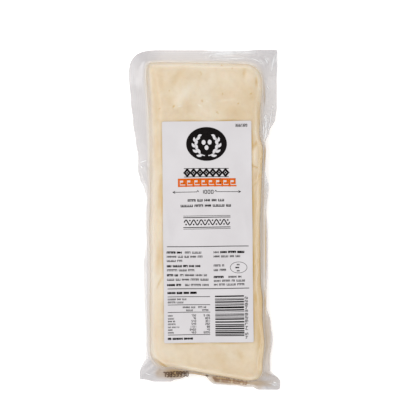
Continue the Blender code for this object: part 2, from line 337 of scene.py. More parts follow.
def label_edge(places):
    """How strong the line along the label's edges is, whey colour and painted shade in the crease
    under them: a bell curve across them, in patches, with more on the right of the head and none on
    the left of the foot."""
    x, y = places[..., 0], places[..., 1]
    across, up = x - LABEL_LINE_MIDDLE[0], y - LABEL_LINE_MIDDLE[1]
    s, t = across + LABEL_LINE_SLOPE * up, up - LABEL_LINE_SLOPE * across
    past = np.maximum(abs(s) - LABEL_LINE_HALF[0], abs(t) - LABEL_LINE_HALF[1])
    patchy = 0.45 + 0.35 * np.sin(y / 7) * np.sin(x / 5 + 1)
    patchy = patchy + 0.3 * (s > 30) * ease(1 - abs(y - 42) / 50)
    patchy = patchy * np.where(s < -30, ease((y + 85.0) / 50.0), 1.0)
    # Whey colour and painted shade in the crease under the label's edges.
    return np.exp(-((past / LABEL_LINE_SPREAD) ** 2)) * patchy * LABEL_LINE_STRENGTH


def grid_quads(rows, columns):
    """The quads of a grid of vertices, row after row, facing up."""
    number = np.arange(rows * columns).reshape(rows, columns)
    corners = (number[:-1, :-1], number[:-1, 1:], number[1:, 1:], number[1:, :-1])
    return np.stack(corners, -1).reshape(-1, 4)


def rim_of(rows, columns):
    """The numbers of a grid's outer vertices, counter-clockwise."""
    number = np.arange(rows * columns).reshape(rows, columns)
    return np.concatenate([number[0, :-1], number[:-1, -1], number[-1, :0:-1], number[:0:-1, 0]])


def shell_quads(rows, columns):
    """The quads of an upper and a lower grid, joined by a strip round their rims."""
    upper = grid_quads(rows, columns)
    lower = upper[:, ::-1] + rows * columns
    rim = rim_of(rows, columns)
    low = rim + rows * columns
    strip = np.stack([rim, low, np.roll(low, -1), np.roll(rim, -1)], -1)
    return np.concatenate([upper, lower, strip])


def weld_rims(quads, rows, columns):
    """Joins the lower grid's rim to the upper one's, as both lie in the same places. Gives the
    numbers of the vertices that stay, and the quads with those."""
    rim = rim_of(rows, columns)
    number = np.arange(2 * rows * columns)
    number[rim + rows * columns] = rim
    quads = number[quads[: -len(rim)]]
    stay, inverse = np.unique(quads, return_inverse=True)
    return stay, inverse.reshape(-1, 4)


def new_object(name, data):
    """An object with this data, in the scene."""
    thing = bpy.data.objects.new(name, data)
    bpy.context.scene.collection.objects.link(thing)
    return thing


def add_piece(name, places, quads, material, attributes=()):
    """A mesh of places in millimetres and quads, with each attribute's number at each vertex."""
    mesh = bpy.data.meshes.new(name)
    mesh.from_pydata((places * MM).tolist(), [], quads.tolist())
    for label, values in attributes:
        layer = mesh.attributes.new(label, "FLOAT", "POINT")
        layer.data.foreach_set("value", np.asarray(values, np.float32).ravel())
    mesh.materials.append(material)
    mesh.shade_smooth()
    mesh.set_sharp_from_angle(angle=np.radians(60))
    piece = new_object(name, mesh)
    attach(piece, "root")
    return piece


def new_material(name):
    """A node material: its tree, and its Principled shader."""
    material = bpy.data.materials.new(name)
    material.use_nodes = True
    return material, material.node_tree, material.node_tree.nodes["Principled BSDF"]


def feed(tree, node, inputs):
    """Links each input of a node from another's output, or sets it to a number or a colour."""
    for key, value in dict(inputs).items():
        socket = node.inputs[key]
        if isinstance(value, bpy.types.NodeSocket):
            tree.links.new(value, socket)
        else:
            socket.default_value = (*value, 1.0) if socket.type == "RGBA" else value


def add_node(tree, kind, inputs=(), **settings):
    """A node with its settings made and its inputs fed."""
    node = tree.nodes.new(kind)
    for key, value in settings.items():
        setattr(node, key, value)
    feed(tree, node, inputs)
    return node


def noise(tree, scale, detail=3.0, rough=0.5):
    """Noise in the piece's own coordinates, at a scale in cycles per metre."""
    place = add_node(tree, "ShaderNodeTexCoord").outputs["Object"]
    inputs = {"Vector": place, "Scale": scale, "Detail": detail, "Roughness": rough}
    return add_node(tree, "ShaderNodeTexNoise", inputs).outputs["Fac"]


def ramp(tree, source, stops):
    """A colour ramp over a source, with stops of place and colour."""
    node = add_node(tree, "ShaderNodeValToRGB", {"Fac": source})
    elements = node.color_ramp.elements
    while len(elements) < len(stops):
        elements.new(0.5)
    for element, (place, colour) in zip(elements, stops):
        element.position = place
        element.color = (*colour, 1.0)
    return node.outputs["Color"]


def blend_colours(tree, share, first, second, blend="MIX"):
    """Two colours mixed by a share; each is an output or three numbers."""
    inputs = {"Factor": share, 6: first, 7: second}
    node = add_node(tree, "ShaderNodeMix", inputs, data_type="RGBA", blend_type=blend)
    return node.outputs[2]


def vertex_number(tree, label):
    """The number that the mesh holds at each vertex under this label."""
    return add_node(tree, "ShaderNodeAttribute", attribute_name=label).outputs["Fac"]


def bump(tree, height, distance):
    """A bump from a height, at a distance in metres."""
    node = add_node(tree, "ShaderNodeBump", {"Height": height, "Distance": distance})
    return node.outputs["Normal"]


def cheese_material():
    """Cream curd: broad pale and tan clouds, fine grain, yellow in the folds and pores, which is
    whey colour and painted shade, painted shade down the right side, and painted highlights on the
    swellings.
    """
    material, tree, shader = new_material("cheese")
    stops = [(0.32, (0.735, 0.585, 0.40)), (0.5, (0.765, 0.632, 0.45)), (0.68, (0.79, 0.68, 0.515))]
    clouds = ramp(tree, noise(tree, 38, 4, 0.55), stops)
    specks = ramp(tree, noise(tree, 260, 2), [(0.3, (0.93, 0.90, 0.84)), (0.6, (1, 1, 1))])
    base = blend_colours(tree, 0.6, clouds, specks, "MULTIPLY")
    # Paler curd and painted highlights on the swellings.
    pale_and_highlit = blend_colours(tree, vertex_number(tree, "pale"), base, (0.83, 0.745, 0.61))
    # Whey colour and painted shade in the hollows and down the right side.
    whey_and_shade = blend_colours(tree, vertex_number(tree, "yellow"), pale_and_highlit, (0.62, 0.40, 0.13))
    feed(tree, shader, {
        "Base Color": whey_and_shade,
        "Normal": bump(tree, noise(tree, 420), 0.00008),
        "Roughness": 0.42,
        "Subsurface Weight": 0.25,
        "Subsurface Radius": (1.0, 0.6, 0.3),
        "Subsurface Scale": 0.003,
        "Specular IOR Level": 0.3,
        "Coat Weight": vertex_number(tree, "gloss"),
        "Coat Roughness": 0.3,
    })
    return material


a, b = pack_grid(face_across=88, face_along=250, wall=22, seal=0)
halves = [cheese_sheet(a, b, upper) for upper in (True, False)]
places, yellow, pale = (
    np.concatenate([part.reshape(a.size, -1) for part in parts]) for parts in zip(*halves)
)
# The whey's shine is less down the sides than over the face.
gloss = np.tile(0.6 - 0.4 * ease(outwards(a, b)[3] * 1.6 - 0.4).ravel(), 2)
stay, quads = weld_rims(shell_quads(*a.shape), *a.shape)
looks = [("yellow", yellow[stay]), ("pale", pale[stay]), ("gloss", gloss[stay])]
cheese = add_piece("cheese", places[stay], quads, cheese_material(), looks)
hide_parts("bag")

# The bag: two clear films drawn tight over the cheese by the vacuum and welded together round it.
# The weld is a flat, slightly milky border, fluted along its length and bent down beside the block.

FILM = 0.16
SEAL_LEFT = 13.6
SEAL_RIGHT = 12.2
SEAL_TOP = 9.6
SEAL_BOTTOM = 10.8
# The film measured along the seal is this much longer than the straight way.
SLACK = 1.012
# The two films part in a small tent beside the cheese: its half height, and its reach outwards.
TENT_HEIGHT = 1.3
TENT_REACH = 2.6
# The seal bends over this share of its width, by one of these angles.
BEND_SHARE = 0.24
BENDS = np.radians(np.linspace(9, 98, 40))
RIPPLE = 0.4
# How the seal's places crowd towards its root, as a power.
CROWDING = 1.5
# Where the bag's edge lies: the place along each side, and the place across it.
EDGE_LEFT = (
    (-104, -44.9), (-92, -45.2), (-74, -45.7), (-60, -46.3), (-43, -46.5), (-34, -47),
    (-25, -45.7), (-17, -44.7), (-4, -45.5), (6, -45.5), (16, -44.5), (24, -46.4), (32, -49.8),
    (38, -51.1), (49, -51.1), (61, -52.9), (74, -54.9), (92, -56.7), (112, -58.4),
)
EDGE_RIGHT = (
    (-114, 50.4), (-107, 50.4), (-92, 52.3), (-79, 50.8), (-66, 47.8), (-54, 47.8), (-42, 48.6),
    (-12, 48.6), (8, 47.6), (26, 49.4), (38, 47), (60, 47), (68, 49.8), (78, 54.4),
    (86, 55.5), (105, 55.5),
)
EDGE_BOTTOM = (
    (-28, -124.5), (-20, -122.4), (-9, -118.2), (-2, -119.2), (8, -126.3), (22, -127),
    (36, -128.8),
)
EDGE_TOP = ((-38, 130.6), (-4, 130.5), (12, 130), (30, 130.1))
# The seal's corners: x, y, squareness, and the degrees off the side where each starts and is full.
TABS = np.array([
    (-49.9, -122.6, 60, 24, 40),
    (58.1, -130.5, 30, 17, 27),
    (-58.3, 130.6, 3.4, 5, 30),
    (56, 131, 60, 5, 30),
])

# Pleats in the film: from x, y to x, y, half width and height.
PLEATS = np.array([
    (46.6, 81, 45, 73, 0.8, 0.9), (45, 73, 44.6, 61, 0.7, 0.8), (44.2, 79.5, 43, 68.5, 0.6, 0.7),
    (3, 127, 36, 127.4, 1.8, 0.9), (8, 124.2, 40, 124, 0.9, 0.6),
    (42, 124.8, 47.5, 120.5, 1.1, 0.7), (51, 127, 52, 112, 0.9, 0.7),
    (54, 126, 54.5, 108, 0.7, 0.5), (-50, 118, -44.5, 125, 2, 0.25),
    (-53, 108, -52, 84, 1.6, 0.15), (-47, 44, -44, 34, 1.2, 0.7), (-48, 40, -44, 24, 1, 0.6),
    (-38, -112, -47, -119, 1.2, 0.9), (-35, -115.5, -44, -121.5, 1, 0.7),
    (-40, -106, -46, -112, 1.3, 0.6), (38, -123.5, 57, -125.8, 1.2, 0.9),
    (28, -125, 48, -128, 0.9, 0.6), (43, -118, 52, -121.5, 1.2, 0.7),
    (6, -121, 26, -123.8, 0.8, 0.5), (-22, -118.5, -8, -117.6, 0.8, 0.5),
])
# Yellow whey caught in the film at the foot, and painted shade down the right side and on the
# foot's right-hand tab, where the block's shadow falls: x, y to x, y, half width, strength.
WHEY_AND_SHADE = np.array([
    (-34, -117.5, -9, -118, 4.2, 0.75), (-16, -118, 6, -120, 3, 0.75),
    (-2, -120, 42, -126, 4.2, 0.85), (26, -124, 50, -126, 2.4, 0.6),
    (50, -119, 55, -127, 5, 0.15), (47.6, -62, 48.4, -118, 3.2, 0.55),
    (46.8, 8, 46.7, -50, 1, 0.85), (47, 26, 46.8, 8, 0.9, 0.4), (46.7, -44, 47, -80, 1, 0.85),
    (46.9, 62, 46, 38, 0.7, 0.8), (44.5, 60, 45.5, -60, 1.4, 0.5), (46, 105, 46.2, 88, 0.7, 0.5),
    (-20, 121.6, 30, 121.4, 0.5, 0.3),
])
# Broad bands of painted highlight, white like creased film, where the film shines, with the same
# numbers.
CRAZING_AND_HIGHLIGHTS = np.array([
    (3, 125.4, 6, 127.2, 1.2, 0.9), (6, 127.6, 24, 128.6, 1.9, 1.3),
    (4, 125.9, 20, 126.5, 1.3, 0.8), (20, 128.6, 39, 128.8, 1.2, 0.9),
    (7, 123.6, 30, 124.2, 0.9, 0.9), (30, 125, 40, 123.4, 0.7, 0.5),
    (42.5, 122.2, 46, 119.6, 1, 0.7), (46, 125.4, 49, 123, 0.9, 0.6),
    (53.5, 124.5, 51.5, 117, 0.8, 0.7), (54.9, 127.5, 54.6, 121, 0.5, 0.5),
    (-47.6, 43, -44.6, 37, 0.9, 0.4), (49.2, -125.3, 57, -127, 0.5, 0.6),
    (-43.9, 44, -43.4, 41.5, 0.7, 0.5), (49, 40, 48.6, 20, 0.6, 0.4),
    (46, 10, 46, -60, 0.6, 0.35),
])


def edge_distance(x, y, way, angle):
    """The distance from the face's outline to the bag's edge, straight outwards, from the side's
    line or the corner's tab, which is a superellipse through the corner."""
    left, low = way[0] < 0, way[1] < 0
    side = abs(np.where(left, along(EDGE_LEFT, y), along(EDGE_RIGHT, y)) - x)
    end = abs(np.where(low, along(EDGE_BOTTOM, x), along(EDGE_TOP, x)) - y)
    tab = TABS[np.where(low, 0, 2) + np.where(left, 0, 1)]
    start, full = np.radians(tab[..., 3]), np.radians(tab[..., 4])
    onto = ease((angle - start) / (full - start))
    off = ease((np.pi / 2 - angle - start) / (full - start))
    across = side + (abs(tab[..., 0] - x) - side) * onto
    up = end + (abs(tab[..., 1] - y) - end) * off
    square = tab[..., 2]
    inverse = (abs(way[0]) / across) ** square + (abs(way[1]) / up) ** square
    return inverse ** (-1 / square)


def bend_for(share):
    """The bend that leaves this share of the seal's width in plan."""
    steps = (np.arange(60) + 0.5) / 60
    shares = np.cos(BENDS[:, None] * ease(steps / BEND_SHARE)).mean(1)
    return np.interp(share, shares[::-1], BENDS[::-1])


def seal_path(bend, place):
    """Plan reach and drop of the bent seal, as shares of its width, at 0 its root to 1 its tip."""
    steps = (np.arange(24) + 0.5) / 24
    turn = bend[..., None] * ease(place[..., None] * steps / BEND_SHARE)
    return place * np.cos(turn).mean(-1), place * np.sin(turn).mean(-1)


def film_surface(a, b, upper):
    """One film: over the face and round the shoulder with the cheese, off its side in a small
    tent, and out along the seal."""
    p, q, way, ring, angle = outwards(a, b)
    x, y, radius, shoulder = block_plan(p, q, way, angle)
    side = 1 if upper else -1
    face = BLOCK_HEIGHT if upper else 0.0
    seam = SEAM_HEIGHT + side * (TENT_HEIGHT + FILM / 2)
    shoulder = shoulder if upper else BASE_SHOULDER
    out, depth = side_profile(ring, radius, abs(face - seam), shoulder)
    height = face - side * depth

    place = np.clip(ring - 1, 0, 1) ** CROWDING
    reach = np.maximum(edge_distance(x, y, way, angle) - radius, 0.5)
    slack = np.maximum(seal_width(way, angle) - reach * SLACK, 0)
    # On the left of the head the seal lies flat, without slack.
    slack = slack * (1 - ease((y - 75) / 33) * ease(-x / 20))
    width = reach * SLACK + slack
    bend = bend_for(reach / width)
    plan, drop = seal_path(bend, place)
    parting = FILM / 2 + TENT_HEIGHT * np.clip(1 - place * width / TENT_REACH, 0, 1) ** 2
    turned = bend * ease(place / BEND_SHARE)
    ripple = RIPPLE * place**2 * np.sin(x / 5.5 + y / 7) * np.cos(bend) ** 2
    seal_out = radius + plan * width + side * parting * np.sin(turned)
    seal_height = SEAM_HEIGHT - drop * width + side * parting * np.cos(turned) + ripple
    out = np.where(ring > 1, seal_out, out)
    height = np.where(ring > 1, seal_height, height)
    x, y = x + way[0] * out, y + way[1] * out
    if upper:
        height = height + face_relief(x, y) * (1 - wall_share(ring)) * (1 - place)
    return np.stack([x, y, height], -1)


def seal_width(way, angle):
    """The seal's width along the film: its own on each side, blended by cosine squared."""
    sides = np.where(way[0] < 0, SEAL_LEFT, SEAL_RIGHT)
    ends = np.where(way[1] < 0, SEAL_BOTTOM, SEAL_TOP)
    return sides * np.cos(angle) ** 2 + ends * np.sin(angle) ** 2


def film_sheet(a, b, upper):
    """One film with its pleats, lumps and fine creases, which stand off its surface."""
    places = film_surface(a, b, upper)
    ring = outwards(a, b)[3]
    creased = 0.008 * swells(places * np.array([1, 0.3, 1]), 11, 3.5, 9)
    creased = creased + heights_of(places, PLEATS)
    if upper:
        lift = (curd(places) + hollows(places)) * kept(ring) + creased * ease(ring * 1.5)
    else:
        lift = -curd(places) * off_base(ring) * kept(ring) + creased * ease((ring - 1) / 0.3)
    normals = normals_of(lambda a, b: film_surface(a, b, upper), a, b)
    return places + normals * lift[..., None]


def arithmetic(tree, operation, *terms):
    """The sine, sum or product of other nodes' outputs."""
    return add_node(tree, "ShaderNodeMath", enumerate(terms), operation=operation).outputs[0]


def film_material():
    """Clear film: nearly unseen over the cheese, hazy and fluted on the weld, yellow with whey,
    brown with painted shade, pale cream with painted light at the weld's root, and white with
    painted highlights.
    """
    material, tree, shader = new_material("film")
    whey_and_shade = vertex_number(tree, "whey_and_shade")
    # Brown for whey, and for painted shade where the block's shadow falls on the seal.
    tint = blend_colours(tree, whey_and_shade, (0.605, 0.58, 0.595), (0.46, 0.27, 0.06))
    # Pale cream as painted light at the weld's root.
    tint = blend_colours(tree, vertex_number(tree, "root"), tint, (0.92, 0.86, 0.77))
    # White as painted highlight where the film shines.
    tint = blend_colours(tree, vertex_number(tree, "crazed_and_highlight"), tint, (0.94, 0.94, 0.95))
    flutes = arithmetic(tree, "SINE", vertex_number(tree, "flutes"))
    lines = ramp(tree, flutes, [(0.0, (0.98, 0.98, 0.98)), (1.0, (1.05, 1.05, 1.05))])
    height = arithmetic(tree, "ADD", flutes, noise(tree, 300, 2))
    feed(tree, shader, {
        "Base Color": tint,
        "Alpha": arithmetic(tree, "MULTIPLY", vertex_number(tree, "haze_and_painted_light"), lines),
        "Normal": bump(tree, height, 0.000007),
        "Roughness": 0.24,
        "Specular IOR Level": 0.6,
        "Coat Weight": 0.5,
        "Coat Roughness": 0.14,
    })
    return material


# How milky the film is over the cheese, on the weld, and at the most.
CLEAR, WELD, WHITEST = 0.03, 0.48, 0.95
FLUTE_PITCH = 1.5


def film_looks(a, b, places):
    """How the film looks at each place. It is hazy on the weld. Its opacity also paints light and
    shade: more down the left side, partly haze and partly painted shade against the key light, more
    at the corners and on the left of the head as painted shade, less at the head's middle and right
    as painted light, and more at the root and under the brown whey and painted shade and the white
    painted highlights. The root is a bell curve across the weld's start: painted shade, yellow, at
    the foot and on the right, and painted light, pale, elsewhere. The flutes are a sine wave
    outwards over the weld."""
    way, ring, angle = outwards(a, b)[2:]
    way = np.tile(way.reshape(2, -1), 2)
    ring, angle = np.tile(ring.ravel(), 2), np.tile(angle.ravel(), 2)
    x, y = places[:, 0], places[:, 1]
    out = np.clip(ring - 1, 0, 1) ** CROWDING * seal_width(way, angle)
    across, up = way[0] * np.cos(angle), way[1] * np.sin(angle)
    left, right, foot = np.clip(-across, 0, 1), np.clip(across, 0, 1), np.clip(-up, 0, 1)

    # Down the left side the film is partly hazy and partly painted shade against the key light.
    haze_and_painted_light = CLEAR + 0.24 * left * ease((ring - 0.3) / 0.5)
    haze_and_painted_light = haze_and_painted_light + (WELD - haze_and_painted_light) * ease((ring - 0.94) / 0.1)
    # Painted shade: more opaque at the corners.
    haze_and_painted_light = haze_and_painted_light + 0.14 * np.sin(2 * angle) ** 2 * ease((ring - 1) / 0.5)
    haze_and_painted_light = haze_and_painted_light + 0.08 * np.exp(-((out / 1.6) ** 2)) * (ring > 1)
    # Painted shade on the left of the head, and painted light at its middle and right.
    head_left = ease((y - 75) / 33) * ease((-x - 38) / 12)
    head = ease((y - 116) / 6) * ease((38 - abs(x)) / 12)
    head_right = ease((x - 44) / 4) * ease((y - 72) / 16) * ease((120 - y) / 8)
    painted_light_at_head = 0.05 * np.maximum(head, head_right)
    haze_and_painted_light = haze_and_painted_light + (0.09 * head_left - painted_light_at_head) * ease((ring - 1) / 0.3)

    # Whey at the foot, and painted shade down the right side and on the foot's right-hand tab.
    whey_and_shade = np.clip(strongest(places, WHEY_AND_SHADE, 4) * 1.2, 0, 1) * ease((ring - 0.8) / 0.4)
    # Painted highlights, white like creased film.
    crazed_and_highlight = np.clip(strongest(places, CRAZING_AND_HIGHLIGHTS), 0, 1)
    haze_and_painted_light = np.minimum(haze_and_painted_light + 0.4 * whey_and_shade + 0.5 * crazed_and_highlight, WHITEST)
    # The root: painted shade at the foot and on the right, and painted light elsewhere.
    root = np.exp(-((out / 1.3) ** 2)) * ease((ring - 0.9) / 0.1)
    return [
        ("haze_and_painted_light", haze_and_painted_light),
        ("whey_and_shade", np.maximum(whey_and_shade, (0.04 + 0.35 * right + 0.6 * foot) * root)),
        ("flutes", out * 2 * np.pi / FLUTE_PITCH),
        ("crazed_and_highlight", crazed_and_highlight),
        ("root", root * (0.75 - 0.55 * right - 0.7 * foot)),
    ]


a, b = pack_grid(face_across=44, face_along=300, wall=20, seal=14)
places = np.concatenate([film_sheet(a, b, upper).reshape(-1, 3) for upper in (True, False)])
film = add_piece("film", places, shell_quads(*a.shape), film_material(), film_looks(a, b, places))
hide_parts("bag")

# Painted highlights on the film, as white strips like creases whitened by a hard fold: a hairpin
# pleat on the right of the head, and folds and glints in the corners. Each is a curved strip laid
# just over the film.

ABOVE_FILM = 0.15
CREASE_STEPS, CREASE_ROWS = 17, 4
# Each painted glint crease, in plan: its start, the two points that pull its curve, its end, and
# its half width.
CREASES_AND_GLINTS = (
    ((-4.9, 128), (3, 129.4), (18, 129.9), (38, 129.5), 0.35),
    ((3.2, 125), (7, 127.3), (20, 128.1), (32, 128.6), 0.5),
    ((9.6, 123.5), (19.1, 124.3), (27, 123.8), (33.6, 124.4), 0.45),
    ((33.6, 124.4), (38, 124.1), (41.3, 122.4), (44.8, 120.3), 0.4),
    ((45.6, 125), (47.4, 123.4), (48.4, 121), (48.8, 119.4), 0.5),
    ((54.2, 128.4), (53.4, 123.8), (52.2, 119), (51.2, 112.6), 0.65),
    ((55.2, 129), (55.7, 126), (55.9, 122), (55.4, 115), 0.4),
    ((45.2, 75.8), (46.2, 79.9), (47.4, 81.2), (48, 79.4), 0.55),
    ((48, 79.4), (47.8, 76.4), (47.2, 73), (46.4, 69), 0.5),
    ((46.6, 74.8), (47, 77.2), (46.9, 79), (46.6, 80), 0.3),
    ((45.2, 76), (45.3, 71), (45.2, 67), (45.2, 63), 0.35),
    ((48, 71), (47.2, 68.4), (46.8, 65), (46.8, 61.5), 0.45),
    ((51.8, 86.8), (51.2, 80), (50.4, 73), (48.4, 66), 0.3),
    ((52.8, 88.4), (52.6, 87.6), (52.4, 86.6), (52.4, 85.6), 0.4),
    ((47.6, 103.6), (48.4, 102.6), (49.2, 101.6), (49.8, 100.6), 0.3),
    ((-49.9, 44.4), (-48, 44.8), (-46, 45.4), (-43.8, 45.8), 0.35),
    ((-49.4, 42), (-48.8, 41), (-48.2, 40.4), (-47.6, 39.6), 0.45),
    ((52, -124.2), (53.2, -124.8), (54.6, -125.2), (56.4, -125.6), 0.4),
    ((51, -126.2), (52.4, -126.6), (54, -127), (55.6, -127.4), 0.3),
    ((-46, -117.4), (-44.4, -118.4), (-42.6, -119), (-40.4, -119.2), 0.3),
)

# The upper film's points on the seal, and how far from a place they are looked for.
upper_seal = places[: a.size][outwards(a, b)[3].ravel() > 1.0]
SEARCH = 4.0


def on_film(points):
    """The places a little over the seal at points in plan. The height is a mean of the seal's own
    points: each counts e to the (its height / 0.6) less (its distance / 0.7) squared."""
    near = upper_seal
    for axis, place in enumerate(points.T):
        low, high = place.min() - SEARCH, place.max() + SEARCH
        near = near[(near[:, axis] > low) & (near[:, axis] < high)]
    away = np.hypot(near[:, 0] - points[:, :1], near[:, 1] - points[:, 1:])
    power = near[:, 2] / 0.6 - (away / 0.7) ** 2
    share = np.exp(power - power.max(1, keepdims=True))
    height = (share * near[:, 2]).sum(1) / share.sum(1)
    return np.column_stack([points, height + ABOVE_FILM])


def strip(path, half, rows=1):
    """A strip of quads along a path in plan, half a width to each side of it."""
    path = np.asarray(path, float)
    way = np.gradient(path, axis=0)
    way /= np.maximum(np.linalg.norm(way, axis=1), 1e-9)[:, None]
    side = np.stack([-way[:, 1], way[:, 0]], 1) * np.broadcast_to(half, len(path))[:, None]
    steps = np.linspace(1, -1, rows + 1)[None, :, None]
    points = path[:, None] + side[:, None] * steps
    return points.reshape(-1, 2), grid_quads(len(path), rows + 1)


def joined(runs):
    """Several runs' points and quads as one, each quad moved on by the points before its run."""
    counts = np.cumsum([0] + [len(points) for points, _ in runs[:-1]])
    points = np.concatenate([points for points, _ in runs])
    return points, np.concatenate([quads + count for (_, quads), count in zip(runs, counts)])


def glint_crease_material():
    """Painted highlight, as film that a hard fold has turned white, most along the middle of the
    crease.
    """
    material, tree, shader = new_material("whitened film")
    stops = [(0.3, (0.86, 0.86, 0.87)), (0.7, (0.95, 0.95, 0.96))]
    feed(tree, shader, {
        "Base Color": ramp(tree, noise(tree, 400, 2), stops),
        "Alpha": vertex_number(tree, "whitened"),
        "Roughness": 0.25,
    })
    return material


runs = []
t = np.linspace(0, 1, CREASE_STEPS)[:, None]
for *corners, half in CREASES_AND_GLINTS:
    start, first, second, end = np.array(corners)
    path = start * (1 - t) ** 3 + 3 * first * t * (1 - t) ** 2
    path = path + 3 * second * t**2 * (1 - t) + end * t**3
    taper = 1.7 * np.sin(np.pi * (0.1 + 0.8 * t[:, 0]))
    points, quads = strip(path, half * taper, CREASE_ROWS)
    runs.append((on_film(points), quads))
# Each painted glint is strongest along its strip's middle and fades to its ends.
across = np.array([0.0, 0.7, 1.0, 0.7, 0.0])
whitened = np.tile((0.95 * np.sin(np.pi * t) ** 0.7 * across).ravel(), len(CREASES_AND_GLINTS))
creases_and_glints = add_piece("film_creases_and_glints", *joined(runs), glint_crease_material(), [("whitened", whitened)])
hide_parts("bag")

# The label: one sheet of white semi-gloss paper with rounded corners, glued on the film over the
# upper face. Damp has cockled it slightly.

LABEL_SIZE = np.array([68.4, 169.6])
LABEL_CENTRE = (2.5, -9.1)
LABEL_TURN = np.radians(0.6)
LABEL_ROUND = 1.0
PAPER = 0.12
ABOVE_FACE = 0.34
# Three pinched creases in the paper: from s, t to s, t, half width and height.
PINCHES = np.array([
    (27, 16, 31, -2, 2, 0.3),
    (-33, 20, -29, -4, 2, 0.25),
    (-32, 74, -18, 40, 5, 0.2),
])


def on_label(s, t, lift):
    """The place over the label's point s across and t up from its middle, with a faint waver in
    plan: the face's height there, with the paper's long soft waves and pinched creases."""
    s, t = s + 0.07 * np.sin(t / 14 + s / 25), t + 0.09 * np.sin(s / 9 + t / 21)
    x = LABEL_CENTRE[0] + s * np.cos(LABEL_TURN) - t * np.sin(LABEL_TURN)
    y = LABEL_CENTRE[1] + s * np.sin(LABEL_TURN) + t * np.cos(LABEL_TURN)
    flat = np.stack([x, y, np.full_like(x, BLOCK_HEIGHT)], -1)
    cockle = 0.07 * swells(flat * np.array([1, 1, 0]), 21, 14, 45)
    cockle = cockle + heights_of(np.stack([s, t], -1), PINCHES)
    height = BLOCK_HEIGHT + face_relief(x, y) + curd(flat) + ABOVE_FACE + cockle + lift
    return np.stack([x, y, height], -1)


def label_material():
    """White paper with a faint cloudiness and a soft calendered shine."""
    material, tree, shader = new_material("label paper")
    stops = [(0.3, (0.672, 0.643, 0.657)), (0.7, (0.706, 0.681, 0.695))]
    feed(tree, shader, {
        "Base Color": ramp(tree, noise(tree, 55), stops),
        "Normal": bump(tree, noise(tree, 900, 2), 0.00002),
        "Roughness": 0.5,
        "Coat Weight": 0.25,
        "Coat Roughness": 0.3,
    })
    return material


s, t = np.meshgrid(
    np.linspace(-0.5, 0.5, 70) * LABEL_SIZE[0], np.linspace(-0.5, 0.5, 171) * LABEL_SIZE[1]
)
past = np.stack([abs(s), abs(t)]) - (LABEL_SIZE / 2 - LABEL_ROUND)[:, None, None]
round_off = np.maximum(np.hypot(*np.maximum(past, 0)), 1e-9)
keep = np.minimum(LABEL_ROUND / round_off, 1.0)
s = np.where(past[0] > 0, np.sign(s) * (abs(s) - past[0] * (1 - keep)), s)
t = np.where(past[1] > 0, np.sign(t) * (abs(t) - past[1] * (1 - keep)), t)
faces = np.concatenate([on_label(s, t, lift).reshape(-1, 3) for lift in (0.0, -PAPER)])
label = add_piece("label_paper", faces, shell_quads(*s.shape), label_material())
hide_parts("label")

# The print: black, orange and white ink, laid on the paper as thin films in plain ornaments, rules,
# ticks and numbers. Places are millimetres across and up from the label's middle.


def straight(x0, y0, x1, y1, width):
    """A straight strip from point to point, cut every 2 mm so that it follows the paper."""
    steps = np.linspace(0, 1, 2 + int(np.hypot(x1 - x0, y1 - y0) / 2))[:, None]
    return strip(np.array([x0, y0]) + steps * np.array([x1 - x0, y1 - y0]), width / 2)


def outline(points, width):
    """Strips from point to point, each run on by half its width to fill the corners."""
    points = np.asarray(points, float)
    runs = []
    for start, end in zip(points[:-1], points[1:]):
        way = (end - start) / np.hypot(*(end - start)) * width / 2
        runs.append(straight(*(start - way), *(end + way), width))
    return runs


def oval(x, y, across, up, rows=12):
    """A filled oval, as one strip whose width follows a half circle."""
    u = -np.cos(np.linspace(0, np.pi, 40))
    path = np.stack([x + across * u, np.full_like(u, y)], 1)
    return strip(path, up * np.sqrt(np.maximum(1 - u**2, 1e-4)), rows)


def ring_line(x, y, across, up, width):
    """An oval's outline."""
    turn = np.linspace(0, 2 * np.pi, 61)
    path = np.stack([x + across * np.cos(turn), y + up * np.sin(turn)], 1)
    return strip(path, width / 2)


DIGITS = ("abcdef", "bc", "abdeg", "abcdg", "bcfg", "acdfg", "acdefg", "abc", "abcdefg", "abcdfg")
BARS = {
    "a": (0, 2, 1, 2), "b": (1, 1, 1, 2), "c": (1, 0, 1, 1), "d": (0, 0, 1, 0),
    "e": (0, 0, 0, 1), "f": (0, 1, 0, 2), "g": (0, 1, 1, 1),
}


def numerals(numbers, x, y, height, pitch, width, turn=0.0):
    """Plain numbers of up to seven bars each, from x, y along the turn."""
    along_x, along_y = np.cos(turn), np.sin(turn)
    runs = []
    for place, number in enumerate(numbers):
        for bar in DIGITS[number]:
            u = np.array(BARS[bar][::2]) * pitch * 0.6 + place * pitch
            v = np.array(BARS[bar][1::2]) * height / 2
            ends_x = x + u * along_x - v * along_y
            ends_y = y + u * along_y + v * along_x
            runs.append(straight(ends_x[0], ends_y[0], ends_x[1], ends_y[1], width))
    return runs


def tick_row(left, right, base, height, seed, weight):
    """Small marks in a row: groups of upright ticks of one height, each crossed by one bar."""
    rng = np.random.default_rng(seed)
    x, runs, thick = left, [], 1.4 * weight * height
    while x < right - 1.2 * height:
        ticks = min(rng.integers(3, 9), int((right - x) / (0.5 * height)))
        across = x + np.cumsum(np.append(0, rng.uniform(0.38, 0.62, ticks - 1))) * height
        for spot in across:
            runs.append(straight(spot, base, spot, base + 0.8 * height, thick))
        bar = base + rng.choice([0.1, 0.4, 0.7]) * height
        runs.append(straight(x, bar, across[-1], bar, thick * 0.8))
        x = across[-1] + 0.85 * height
    return runs


def print_sheet(name, runs, lift, material):
    """One ink's shapes as a single piece, a little above the paper."""
    points, quads = joined(runs)
    piece = add_piece(name, on_label(*points.T, lift), quads, material)
    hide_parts("label")


